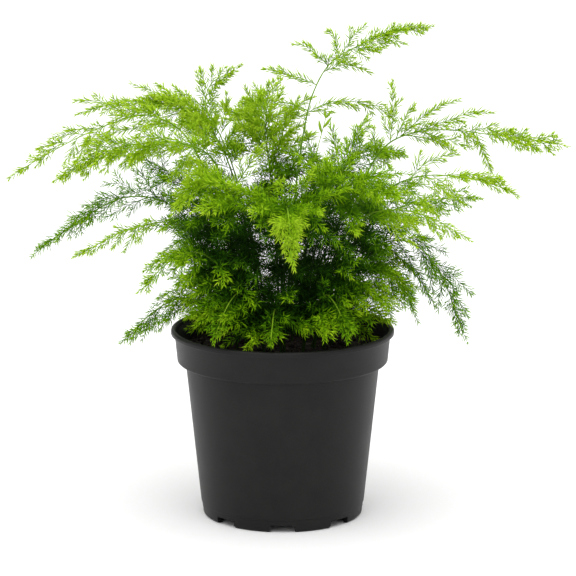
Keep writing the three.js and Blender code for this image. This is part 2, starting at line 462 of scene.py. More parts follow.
class MeshBuffer:
    """Collects vertices, triangles and two numbers per vertex, and makes one object of them."""

    def __init__(self) -> None:
        """Starts empty."""
        self.count = 0
        self.points: list[np.ndarray] = []
        self.faces: list[np.ndarray] = []
        self.tones: list[np.ndarray] = []
        self.alongs: list[np.ndarray] = []

    def add(self, points: np.ndarray, faces: np.ndarray, tone: np.ndarray, along: np.ndarray) -> None:
        """Adds a batch of triangles.

        Args:
            points: Vertex positions, n by 3.
            faces: Vertex numbers within this batch, m by 3.
            tone: A tone for each vertex.
            along: Each vertex's share of the way from base to tip.
        """
        self.points.append(points)
        self.faces.append(faces + self.count)
        self.tones.append(np.broadcast_to(tone, len(points)))
        self.alongs.append(np.broadcast_to(along, len(points)))
        self.count += len(points)

    def build(self, name: str, material: bpy.types.Material, smooth: bool = True) -> bpy.types.Object:
        """Makes the object.

        Args:
            name: The piece's name.
            material: Its material.
            smooth: Whether its faces are shaded smooth.

        Returns:
            The new object, linked to the scene.
        """
        points = np.concatenate(self.points).astype(np.float32)
        faces = np.concatenate(self.faces).astype(np.int32)
        tone = np.concatenate(self.tones).astype(np.float32)
        along = np.concatenate(self.alongs).astype(np.float32)
        mesh = bpy.data.meshes.new(name)
        mesh.vertices.add(len(points))
        mesh.vertices.foreach_set("co", points.ravel())
        mesh.loops.add(faces.size)
        mesh.loops.foreach_set("vertex_index", faces.ravel())
        mesh.polygons.add(len(faces))
        mesh.polygons.foreach_set("loop_start", np.arange(0, faces.size, 3, dtype=np.int32))
        mesh.polygons.foreach_set("use_smooth", np.full(len(faces), smooth))
        for key, values in (("tone", tone), ("along", along)):
            mesh.attributes.new(key, "FLOAT", "POINT").data.foreach_set("value", values)
        unwrapped = np.stack([tone, along], axis=1)[faces.ravel()].astype(np.float32)
        mesh.uv_layers.new(name="OFBake").uv.foreach_set("vector", unwrapped.ravel())
        mesh.update(calc_edges=True)
        mesh.materials.append(material)
        made = bpy.data.objects.new(name, mesh)
        bpy.context.scene.collection.objects.link(made)
        return made


def unit(vectors: np.ndarray) -> np.ndarray:
    """Scales vectors to length 1.

    Args:
        vectors: One vector, or one per row.

    Returns:
        The same directions at unit length.
    """
    return vectors / np.maximum(np.linalg.norm(vectors, axis=-1, keepdims=True), 1e-12)


@dataclass
class Line:
    """A smooth line in space with a radius at each point."""

    points: np.ndarray
    radii: np.ndarray

    def __post_init__(self) -> None:
        """Works out the tangents, and a level sideways direction and normal at every point."""
        self.tangents = unit(np.gradient(self.points, axis=0))
        heading = self.points[-1] - self.points[len(self.points) * 3 // 5]
        level = np.array([heading[1], -heading[0], 0.0])
        level = level if np.linalg.norm(level) > 1e-6 else np.array([1.0, 0.0, 0.0])
        level = np.broadcast_to(unit(level), self.points.shape)
        dots = np.sum(level * self.tangents, axis=1, keepdims=True)
        self.sides = unit(level - dots * self.tangents)
        self.normals = np.cross(self.sides, self.tangents)
        steps = np.linalg.norm(np.diff(self.points, axis=0), axis=1)
        self.length = float(steps.sum())
        self.shares = np.concatenate([[0.0], np.cumsum(steps)]) / max(self.length, 1e-9)

    def at(self, shares: np.ndarray, values: np.ndarray) -> np.ndarray:
        """Interpolates one of the line's arrays.

        Args:
            shares: Shares of the length, from 0 to 1.
            values: The array, one row per point.

        Returns:
            One row per share.
        """
        return np.stack([np.interp(shares, self.shares, column) for column in values.T], axis=-1)

    def spot(self, share: float, values: np.ndarray) -> np.ndarray:
        """Interpolates one of the line's arrays at one share of its length."""
        return self.at(np.array([share]), values)[0]

    @classmethod
    def of_stem(cls, node: bpy.types.Object, steps: int = 72) -> "Line":
        """Reads the centre line of a faceted tube back from its mesh.

        Args:
            node: The tube, which stands on its lowest ring.
            steps: Points on the finished line.

        Returns:
            The smooth line through the centres of the tube's rings.
        """
        raw = np.array([v.co for v in node.data.vertices], float)
        keys, first = np.unique(np.round(raw / (0.01 * MM)).astype(int), axis=0, return_inverse=True)
        first = first.ravel()
        points = keys * 0.01 * MM
        near: list[set[int]] = [set() for _ in points]
        for edge in node.data.edges:
            a, b = (int(first[v]) for v in edge.vertices)
            near[a].add(b)
            near[b].add(a)
        ring = {i for i, p in enumerate(points) if p[2] < points[:, 2].min() + 2 * MM}
        seen = set(ring)
        centres: list[np.ndarray] = []
        radii: list[float] = []
        while ring:
            members = points[sorted(ring)]
            centre = members.mean(axis=0)
            if not centres or np.linalg.norm(centre - centres[-1]) > MM:
                reach = np.linalg.norm(members - centre, axis=1)
                centres.append(centre)
                radii.append(float(reach.max()))
            ring = set().union(*(near[i] for i in ring)) - seen
            seen |= ring
        return cls.through(np.array(centres), np.array(radii), steps)

    @classmethod
    def through(cls, knots: np.ndarray, radii: np.ndarray, steps: int) -> "Line":
        """Draws a smooth line through points.

        Args:
            knots: The points.
            radii: A radius at each.
            steps: Points on the finished line.

        Returns:
            A Catmull-Rom line through the knots.
        """
        ends = np.vstack([2 * knots[0] - knots[1], knots, 2 * knots[-1] - knots[-2]])
        where = np.linspace(0, len(knots) - 1, steps)
        index = np.minimum(where.astype(int), len(knots) - 2)
        t = (where - index)[:, None]
        p0, p1, p2, p3 = (ends[index + k] for k in range(4))
        curve = 0.5 * (
            2 * p1 + (p2 - p0) * t + (2 * p0 - 5 * p1 + 4 * p2 - p3) * t**2
            + (3 * p1 - p0 - 3 * p2 + p3) * t**3
        )
        return cls(curve, np.interp(where, np.arange(len(knots)), radii))


def sweep(line: Line, sides: int) -> tuple[np.ndarray, np.ndarray]:
    """Sweeps a closed round tube along a line.

    Args:
        line: The line and its radii.
        sides: Sides of the tube.

    Returns:
        Vertices and triangles, capped at both ends.
    """
    turns = np.arange(sides) * 2 * math.pi / sides
    around = (
        line.sides[:, None, :] * np.cos(turns)[None, :, None]
        + line.normals[:, None, :] * np.sin(turns)[None, :, None]
    )
    rings = line.points[:, None, :] + around * line.radii[:, None, None]
    rows = len(line.points)
    points = np.vstack([rings.reshape(-1, 3), line.points[:1], line.points[-1:]])
    k = np.arange(sides)
    after = (k + 1) % sides
    start = (np.arange(rows - 1) * sides)[:, None]
    low_a, low_b = start + k, start + after
    walls = np.concatenate([
        np.stack([low_a, low_b, low_b + sides], axis=-1).reshape(-1, 3),
        np.stack([low_a, low_b + sides, low_a + sides], axis=-1).reshape(-1, 3),
    ])
    foot, tip = rows * sides, rows * sides + 1
    last = (rows - 1) * sides
    caps = np.concatenate([
        np.stack([after, k, np.full(sides, foot)], axis=-1),
        np.stack([last + k, last + after, np.full(sides, tip)], axis=-1),
    ])
    return points, np.concatenate([walls, caps])


class Noise:
    """Smooth seeded noise on a plane."""

    SIZE = 64

    def __init__(self, seed: int) -> None:
        """Fills the lattice.

        Args:
            seed: Seed of the lattice's values.
        """
        self.lattice = np.random.default_rng(seed).uniform(-1, 1, (self.SIZE, self.SIZE))

    def at(self, x: np.ndarray, y: np.ndarray, cell: float) -> np.ndarray:
        """Samples the noise.

        Args:
            x: First coordinates.
            y: Second coordinates.
            cell: Lattice spacing.

        Returns:
            Values from -1 to 1.
        """
        u, v = x / cell + 17.3, y / cell + 41.7
        i, j = np.floor(u).astype(int), np.floor(v).astype(int)
        a, b = u - i, v - j
        a, b = a * a * (3 - 2 * a), b * b * (3 - 2 * b)
        i, j, n = i % self.SIZE, j % self.SIZE, self.SIZE
        low = self.lattice[i, j] * (1 - a) + self.lattice[(i + 1) % n, j] * a
        high = self.lattice[i, (j + 1) % n] * (1 - a) + self.lattice[(i + 1) % n, (j + 1) % n] * a
        return low * (1 - b) + high * b


# -------------------------------------------------------------------------------------------- fern


class Tone(Enum):
    """How old and shaded a spray's needles are, by the material slot that the record gives it."""

    LIME = "foliage_lime"
    GREEN = "foliage_green"
    DARK = "foliage_dark"

    @property
    def level(self) -> float:
        """The tone at the spray's base, from 0, darkest, to 1."""
        return {Tone.LIME: 0.74, Tone.GREEN: 0.54, Tone.DARK: 0.3}[self]


@dataclass(frozen=True)
class Limb:
    """A side branch placed one by one: the height where it leaves its stem, and where it ends, in mm."""

    leaves_z: float
    tip: tuple[float, float, float]
    arch: float = 3.0
    fullness: float = 1.0


@dataclass(frozen=True)
class Form:
    """What sets one frond apart: where its spray starts, its width, limbs, lift in tone and sparseness."""

    start: float | None = None
    width: float = 1.0
    skirt_top: float = 166.0
    limbs: tuple[Limb, ...] = ()
    lift: float = 0.0
    sparse: float = 1.0


@dataclass(frozen=True)
class Habit:
    """How a spray grows."""

    spacing: float = 3.7 * MM
    wander: float = 42.0
    lean_base: float = 60.0
    lean_tip: float = 30.0
    lean_wander: float = 7.0
    stride: float = 3.6 * MM
    bend: float = 0.18
    turn_ahead: float = 0.5
    droop: float = 0.4
    droop_length: float = 14 * MM
    most_droop: float = 2.2
    twig_radius: float = 0.24 * MM
    twig_tip_radius: float = 0.09 * MM
    node_spacing: float = 1.85 * MM
    needles_per_node: int = 3
    needle_length: float = 7.5 * MM
    needle_radius: float = 0.29 * MM
    needle_waist: float = 0.4
    needle_lean: float = 62.0
    lean_lost_to_tone: float = 22.0
    lean_lost_to_tip: float = 20.0
    needle_slimness: float = 0.72
    needle_girth_by_tone: float = 0.42
    twiglet_spacing: float = 5.4 * MM
    twiglet_share: float = 0.36
    twiglet_base: float = 1.6 * MM
    twiglet_shortest: float = 2.4 * MM
    twiglet_longest: float = 11 * MM
    skirt_spacing: float = 3.7 * MM
    skirt_low: float = 105 * MM
    skirt_length: float = 34 * MM
    skirt_tone: float = 0.54


@dataclass
class Twig:
    """One twig: its line, and how its needles are toned and sized."""

    line: Line
    tone: float
    tip_tone: float
    scale: float


@dataclass(frozen=True)
class Ground:
    """What a drooping twig comes to rest on: the soil inside the rim, and the rim itself."""

    soil: "Soil"
    clear: float = 1.2 * MM
    margin: float = 1.5 * MM
    brim: float = 7 * MM
    brim_rise: float = 3.5

    def lift(self, point: np.ndarray) -> np.ndarray:
        """Raises a point that would sink into the soil or the rim.

        Args:
            point: The point.

        Returns:
            The same point, or the one above it that is clear.
        """
        radius = math.hypot(point[0], point[1])
        pot = self.soil.pot
        if radius < self.soil.radius - self.margin:
            low = float(self.soil.height(point[:1], point[1:2])[0]) + self.clear
        elif radius < pot.lip_radius + self.brim:
            low = pot.height + self.brim_rise * self.clear
        else:
            low = 0.0
        return np.array([point[0], point[1], max(point[2], low)])


@dataclass(frozen=True)
class Dome:
    """The plant's outer dome: needles deep inside it are painted darker than those near it, as shade and as
    older growth.
    """

    low: float = 95 * MM
    top: float = 108 * MM
    radius: float = 47 * MM
    flare: float = 0.43
    deep: float = 0.54
    near: float = 0.98
    darkest: float = 0.1

    def shade(self, points: np.ndarray) -> np.ndarray:
        """Finds how much of its tone a needle keeps; the rest is painted shade, partly also age, deep
        inside the dome.

        Args:
            points: Where the needles are.

        Returns:
            A share from the darkest one to 1.
        """
        rise = np.maximum(points[:, 2] - self.low, 0.0)
        out = np.hypot(points[:, 0], points[:, 1]) / (self.radius + self.flare * rise)
        place = np.clip((np.maximum(out, rise / self.top) - self.deep) / (self.near - self.deep), 0, 1)
        return self.darkest + (1 - self.darkest) * place * place * (3 - 2 * place)


# Half the spread of tone across one needle or twig, so that no face has a UV area of zero.
TONE_EDGE = 0.004
# The darkest tone of all, and the lightest that a needle's own may be.
TONE_LOW, TONE_HIGH = 0.02, 0.96


class Spray:
    """The side branches and needles of one frond."""

    def __init__(
        self, name: str, line: Line, tone: Tone, form: Form, habit: Habit, ground: Ground, seed: int
    ) -> None:
        """Reads the spray's place from the frame.

        Args:
            name: The frond's name.
            line: Its stem.
            tone: Its age and shade.
            form: What sets it apart.
            habit: How it grows.
            ground: What its twigs rest on.
            seed: Seed of its random numbers.
        """
        self.name = name
        self.line = line
        self.tone = tone
        self.form = form
        self.habit = habit
        self.ground = ground
        self.dome = Dome()
        self.level = tone.level + form.lift
        self.random = np.random.default_rng(seed)
        self.buffer = MeshBuffer()
        self.twigs: list[Twig] = []
        solid = np.array([v.co for v in frame["nodes"][f"foliage_{name}"].data.vertices], float)
        gaps = np.linalg.norm(solid[:, None, :] - line.points[None, :, :], axis=2)
        self.start = form.start or float(line.shares[gaps.argmin(axis=1).min()])
        self.reach = form.width * float(np.quantile(gaps.min(axis=1), 0.98))

    def direction(self, share: float, turn: float, lean: float) -> np.ndarray:
        """Finds the direction of a branch.

        Args:
            share: Where it leaves the stem.
            turn: Degrees round the stem from its upper side.
            lean: Degrees away from the stem's own direction.

        Returns:
            The unit direction.
        """
        line = self.line
        tangent, side, normal = (line.spot(share, a) for a in (line.tangents, line.sides, line.normals))
        turn, lean = math.radians(turn), math.radians(lean)
        out = normal * math.cos(turn) + side * math.sin(turn)
        return unit(tangent * math.cos(lean) + out * math.sin(lean))

    def share_at(self, height: float) -> float:
        """Finds where the rising stem passes a height.

        Args:
            height: The height.

        Returns:
            The share of the stem's length.
        """
        top = int(self.line.points[:, 2].argmax())
        return float(np.interp(height, self.line.points[: top + 1, 2], self.line.shares[: top + 1]))

    def grow_twig(
        self, start: np.ndarray, direction: np.ndarray, ahead: np.ndarray, length: float,
        tone: float, scale: float, thick: float = 1.0, sag: float = 1.0,
    ) -> Twig:
        """Grows one twig that curves forwards and sags a little.

        Args:
            start: Where it begins.
            direction: The way that it sets out.
            ahead: The way that it turns towards.
            length: Its length.
            tone: Its tone at the base.
            scale: Size of its needles.
            thick: Thickness, as a share of the habit's.
            sag: How much it sags, as a share of the habit's.

        Returns:
            The twig.
        """
        habit = self.habit
        steps = max(3, int(length / habit.stride) + 1)
        bends = self.random.normal(0, habit.bend, 3)
        droop = habit.droop * sag * min(length / habit.droop_length, habit.most_droop)
        heading = direction.copy()
        points = [start]
        for _ in range(steps):
            heading = unit(heading + (ahead * habit.turn_ahead + bends - UP * droop) / steps)
            points.append(self.ground.lift(points[-1] + heading * length / steps))
        return self.add_line(np.array(points), tone, scale, thick)

    def add_line(self, points: np.ndarray, tone: float, scale: float, thick: float) -> Twig:
        """Keeps a twig that runs through the given points.

        Args:
            points: The points.
            tone: Its tone at the base.
            scale: Size of its needles.
            thick: Thickness, as a share of the habit's.

        Returns:
            The twig.
        """
        radii = np.linspace(self.habit.twig_radius * thick, self.habit.twig_tip_radius, len(points))
        twig = Twig(Line(points, radii), tone, min(tone + 0.2, TONE_HIGH), scale)
        self.twigs.append(twig)
        return twig

    def twiglets(self, twig: Twig, across: np.ndarray, fullness: float = 1.0) -> None:
        """Grows the alternate twiglets of a side branch.

        Args:
            twig: The side branch.
            across: A direction square to the plane that most twiglets lie in.
            fullness: More than 1 sets them closer.
        """
        habit = self.habit
        spread = twig.line.length
        place = min(0.16 * spread, 4 * MM)
        hand = 1 if self.random.random() < 0.5 else -1
        while place < spread * 0.86:
            part = place / spread
            reach = habit.twiglet_share * (spread - place) * float(self.random.uniform(0.7, 1.3))
            reach += habit.twiglet_base
            if reach > habit.twiglet_shortest:
                here = twig.line.spot(part, twig.line.points)
                forward = unit(twig.line.spot(part, twig.line.tangents))
                flat = unit(np.cross(forward, across)) * hand
                tilt = across * float(self.random.normal(0, 0.55))
                out = unit(forward * 0.8 + unit(flat + tilt) * 0.8)
                long = min(reach, habit.twiglet_longest)
                tone = twig.tone + (twig.tip_tone - twig.tone) * part * 0.8
                self.grow_twig(here, out, forward, long, tone, twig.scale * 0.92, thick=0.6, sag=0.4)
            hand = -hand
            step = habit.twiglet_spacing * self.form.sparse * float(self.random.uniform(0.8, 1.25))
            place += step / fullness

    def branch(
        self, share: float, turn: float, lean: float, length: float, tone: float, sag: float = 1.0
    ) -> None:
        """Grows a side branch with its own twiglets.

        Args:
            share: Where it leaves the stem, as a share of the stem's length.
            turn: Degrees round the stem from its upper side.
            lean: Degrees away from the stem's direction.
            length: Its length.
            tone: Its tone at the base.
            sag: How much it sags, as a share of the habit's.
        """
        start = self.line.spot(share, self.line.points)
        ahead = self.line.spot(share, self.line.tangents)
        heading = self.direction(share, turn, lean)
        scale = float(np.clip(0.66 + length / (30 * MM) * 0.4, 0.66, 1.04))
        twig = self.grow_twig(start, heading, ahead, length, tone, scale, sag=sag)
        across = unit(np.cross(heading, self.direction(share, turn + 90, 90)))
        self.twiglets(twig, across)

    def limb(self, limb: Limb) -> None:
        """Grows a side branch that ends at a given point.

        Args:
            limb: Where it leaves and ends.
        """
        share = self.share_at(limb.leaves_z * MM)
        start = self.line.spot(share, self.line.points)
        tip = np.array(limb.tip) * MM
        steps = max(4, int(np.linalg.norm(tip - start) / (4 * MM)))
        t = np.linspace(0, 1, steps + 1)[:, None]
        shake = np.cumsum(self.random.normal(0, 0.25 * MM, (steps + 1, 3)), axis=0) * np.sin(math.pi * t)
        points = start + (tip - start) * t + UP * (4 * limb.arch * MM) * t * (1 - t) + shake
        tone = self.level + 0.06 + float(self.random.normal(0, 0.03))
        twig = self.add_line(points, tone, 0.95, 1.2)
        self.twiglets(twig, unit(np.cross(np.cross(tip - start, UP), tip - start)), limb.fullness)

    def branch_length(self, along: float) -> float:
        """Finds the length of a branch from its place in the spray.

        Args:
            along: Share of the way along the spray.

        Returns:
            The branch's length.
        """
        swell = math.sin(math.pi * min(max(along, 0.04), 0.985) ** 0.46)
        return 3.0 * MM + 1.35 * self.reach * swell

    def grow(self) -> None:
        """Grows the whole spray."""
        habit = self.habit
        for limb in self.form.limbs:
            self.limb(limb)
        spray_length = self.line.length * (1 - self.start)
        place = 0.0
        hand = 1
        while place < spray_length - 1.5 * MM:
            along = place / spray_length
            share = self.start + (1 - self.start) * along
            turn = 90 * hand + float(self.random.normal(0, habit.wander))
            lean = habit.lean_base + (habit.lean_tip - habit.lean_base) * along
            lean += float(self.random.normal(0, habit.lean_wander))
            length = self.branch_length(along) * float(self.random.uniform(0.68, 1.15))
            tone = self.level + 0.1 * along + float(self.random.normal(0, 0.035))
            self.branch(share, turn, lean, length, tone)
            hand = -hand
            step = habit.spacing * self.form.sparse * (1 - 0.5 * along)
            place += step * float(self.random.uniform(0.75, 1.25))
        self.skirt()
        self.tip_twig()

    def skirt(self) -> None:
        """Grows the fine branches below the spray, shaded near the soil and brighter higher up."""
        habit = self.habit
        top = int(self.line.points[:, 2].argmax())
        high = min(self.form.skirt_top * MM, float(self.line.points[top, 2]) - 4 * MM)
        height = habit.skirt_low + float(self.random.uniform(0, habit.skirt_spacing))
        while height < high:
            share = self.share_at(height)
            here = self.line.spot(share, self.line.points)
            away = math.atan2(here[1], here[0]) + float(self.random.normal(0, 1.0))
            heading = unit(np.array([math.cos(away), math.sin(away), self.random.uniform(0.0, 0.7)]))
            length = habit.skirt_length * float(self.random.uniform(0.6, 1.15))
            tone = habit.skirt_tone + float(self.random.normal(0, 0.06))
            twig = self.grow_twig(here, heading, heading, length, tone, scale=1.0, sag=1.15)
            self.twiglets(twig, unit(np.cross(np.cross(heading, UP), heading)))
            height += habit.skirt_spacing * float(self.random.uniform(0.75, 1.25))

    def tip_twig(self) -> None:
        """Grows the spray's own tip, where the stem ends."""
        end = self.line.points[-1]
        ahead = self.line.tangents[-1]
        start = end - ahead * 6 * MM
        self.grow_twig(start, ahead, ahead, 11 * MM, self.level + 0.16, scale=0.72, thick=0.7, sag=0.3)

    def add_twig(self, twig: Twig) -> None:
        """Adds a twig's tube to the mesh.

        Args:
            twig: The twig.
        """
        points, faces = sweep(twig.line, 3)
        rows = len(twig.line.points)
        edge = np.tile([-TONE_EDGE, TONE_EDGE, 0.0], rows)
        share = np.repeat(np.linspace(0.02, 0.3, rows), 3)
        # Painted shade: twigs deep inside the dome are darkened.
        shade = self.dome.shade(points[: 3 * rows])
        tone = np.clip((twig.tone - 0.06) * shade, TONE_LOW, 0.97) + edge
        self.buffer.add(points, faces, np.append(tone, [tone[0], tone[-1]]), np.append(share, [0.0, 0.32]))

    def add_needles(self, twig: Twig) -> None:
        """Adds a twig's needles to the mesh, each a slim three-sided spindle.

        Args:
            twig: The twig.
        """
        habit, random = self.habit, self.random
        nodes = max(2, int(round(twig.line.length / habit.node_spacing)))
        each = habit.needles_per_node
        share = (np.arange(nodes) + 0.75 + random.uniform(-0.25, 0.25, nodes)) / nodes
        share = np.clip(np.repeat(share, each), 0.0, 1.0)
        count = len(share)
        line = twig.line
        tangent, side, normal = (unit(line.at(share, a)) for a in (line.tangents, line.sides, line.normals))
        turn = np.repeat(random.uniform(0, 2 * math.pi, nodes), each)
        turn = turn + np.tile(np.arange(each) * 2 * math.pi / each, nodes) + random.normal(0, 0.3, count)
        base = line.at(share, line.points)
        tone = twig.tone + (twig.tip_tone - twig.tone) * share + random.normal(0, 0.06, count)
        # Painted shade: needles deep inside the dome are darkened, partly also as older growth.
        tone = tone * self.dome.shade(base)
        lean = habit.needle_lean - habit.lean_lost_to_tone * tone - habit.lean_lost_to_tip * share**1.6
        lean = np.radians(lean + random.normal(0, 6, count))
        out = side * np.cos(turn)[:, None] + normal * np.sin(turn)[:, None]
        way = unit(tangent * np.cos(lean)[:, None] + out * np.sin(lean)[:, None])
        length = habit.needle_length * twig.scale * random.uniform(0.7, 1.15, count)
        length = length * (0.95 + 0.1 * share - 0.58 * share**3)
        tip = base + way * length[:, None]
        across = unit(np.cross(way, unit(random.normal(0, 1, (count, 3)))))
        aside = np.cross(way, across)
        girth = habit.needle_slimness + habit.needle_girth_by_tone * tone
        radius = habit.needle_radius * girth * random.uniform(0.9, 1.1, count)
        waist = base + way * (length * habit.needle_waist)[:, None]
        ring = [
            waist + (across * math.cos(a) + aside * math.sin(a)) * radius[:, None]
            for a in (0.0, 2 * math.pi / 3, 4 * math.pi / 3)
        ]
        points = np.stack([*ring, tip, base], axis=1).reshape(-1, 3)
        first = (np.arange(count) * 5)[:, None, None]
        pattern = np.array([[0, 1, 3], [1, 2, 3], [2, 0, 3], [1, 0, 4], [2, 1, 4], [0, 2, 4]])
        faces = (first + pattern[None]).reshape(-1, 3)
        tone = np.clip(tone, TONE_LOW, TONE_HIGH)[:, None] + np.array([0, -TONE_EDGE, TONE_EDGE, 0, 0])
        along = np.tile([0.4, 0.4, 0.4, 1.0, 0.04], count)
        self.buffer.add(points, faces, tone.ravel(), along)

    def build(self, material: bpy.types.Material) -> bpy.types.Object:
        """Args:
            material: The needles' material.

        Returns:
            The spray.
        """
        for twig in self.twigs:
            self.add_twig(twig)
            self.add_needles(twig)
        piece = self.buffer.build(f"spray_{self.name}", material)
        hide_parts(f"foliage_{self.name}")
        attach(piece, ROOT)
        LOG.info("spray %s: %d twigs, %d faces", self.name, len(self.twigs), len(piece.data.polygons))
        return piece


@dataclass(frozen=True)
class Bud:
    """A young side shoot near a stem's tip."""

    share: float
    length: float
    turn: float


@dataclass
class Stalk:
    """A smooth round stem along the line that the frame gives it."""

    name: str
    line: Line
    sides: int = 8
    node_spacing: float = 9 * MM
    node_swell: float = 0.16
    girth: float = 0.82
    slimming: float = 0.35
    buds: tuple[Bud, ...] = ()

    def add_bud(self, buffer: MeshBuffer, bud: Bud) -> None:
        """Adds one young side shoot, a slim spindle that leans away from the stem.

        Args:
            buffer: The stem's mesh so far.
            bud: The shoot's share of the stem, its length, and degrees round from the left side.
        """
        start, ahead = (self.line.spot(bud.share, a) for a in (self.line.points, self.line.tangents))
        turn = math.radians(bud.turn)
        away = np.array([-math.cos(turn), math.sin(turn), 0.0])
        steps = np.linspace(0, 1, 7)[:, None]
        knots = start + (unit(ahead) * steps * 0.86 + away * 0.42 * steps**0.8) * bud.length
        radii = 0.7 * MM * np.sin(math.pi * np.linspace(0.12, 0.97, 7)) + 0.1 * MM
        points, faces = sweep(Line(knots, radii), 6)
        buffer.add(points, faces, 0.9, 1.0)

    def build(self, material: bpy.types.Material) -> bpy.types.Object:
        """Args:
            material: The stems' material.

        Returns:
            The stem.
        """
        shares = self.line.shares * self.line.length / self.node_spacing
        swell = np.exp(-(((shares + 0.5) % 1.0 - 0.5) / 0.12) ** 2)
        slim = self.girth * (1 - self.slimming * self.line.shares)
        shaped = Line(self.line.points, self.line.radii * (1 + self.node_swell * swell) * slim)
        points, faces = sweep(shaped, self.sides)
        buffer = MeshBuffer()
        along = np.append(np.repeat(self.line.shares, self.sides), [0.0, 1.0])
        # Painted shade: the stem's tone is darker deep inside the dome.
        buffer.add(points, faces, Dome().shade(points), along)
        for bud in self.buds:
            self.add_bud(buffer, bud)
        piece = buffer.build(f"stalk_{self.name}", material)
        piece.data.uv_layers.remove(piece.data.uv_layers[0])
        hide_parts(f"stem_{self.name}")
        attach(piece, ROOT)
        LOG.info("stalk %s: %d faces", self.name, len(piece.data.polygons))
        return piece


# ------------------------------------------------------------------------------------- pot and soil


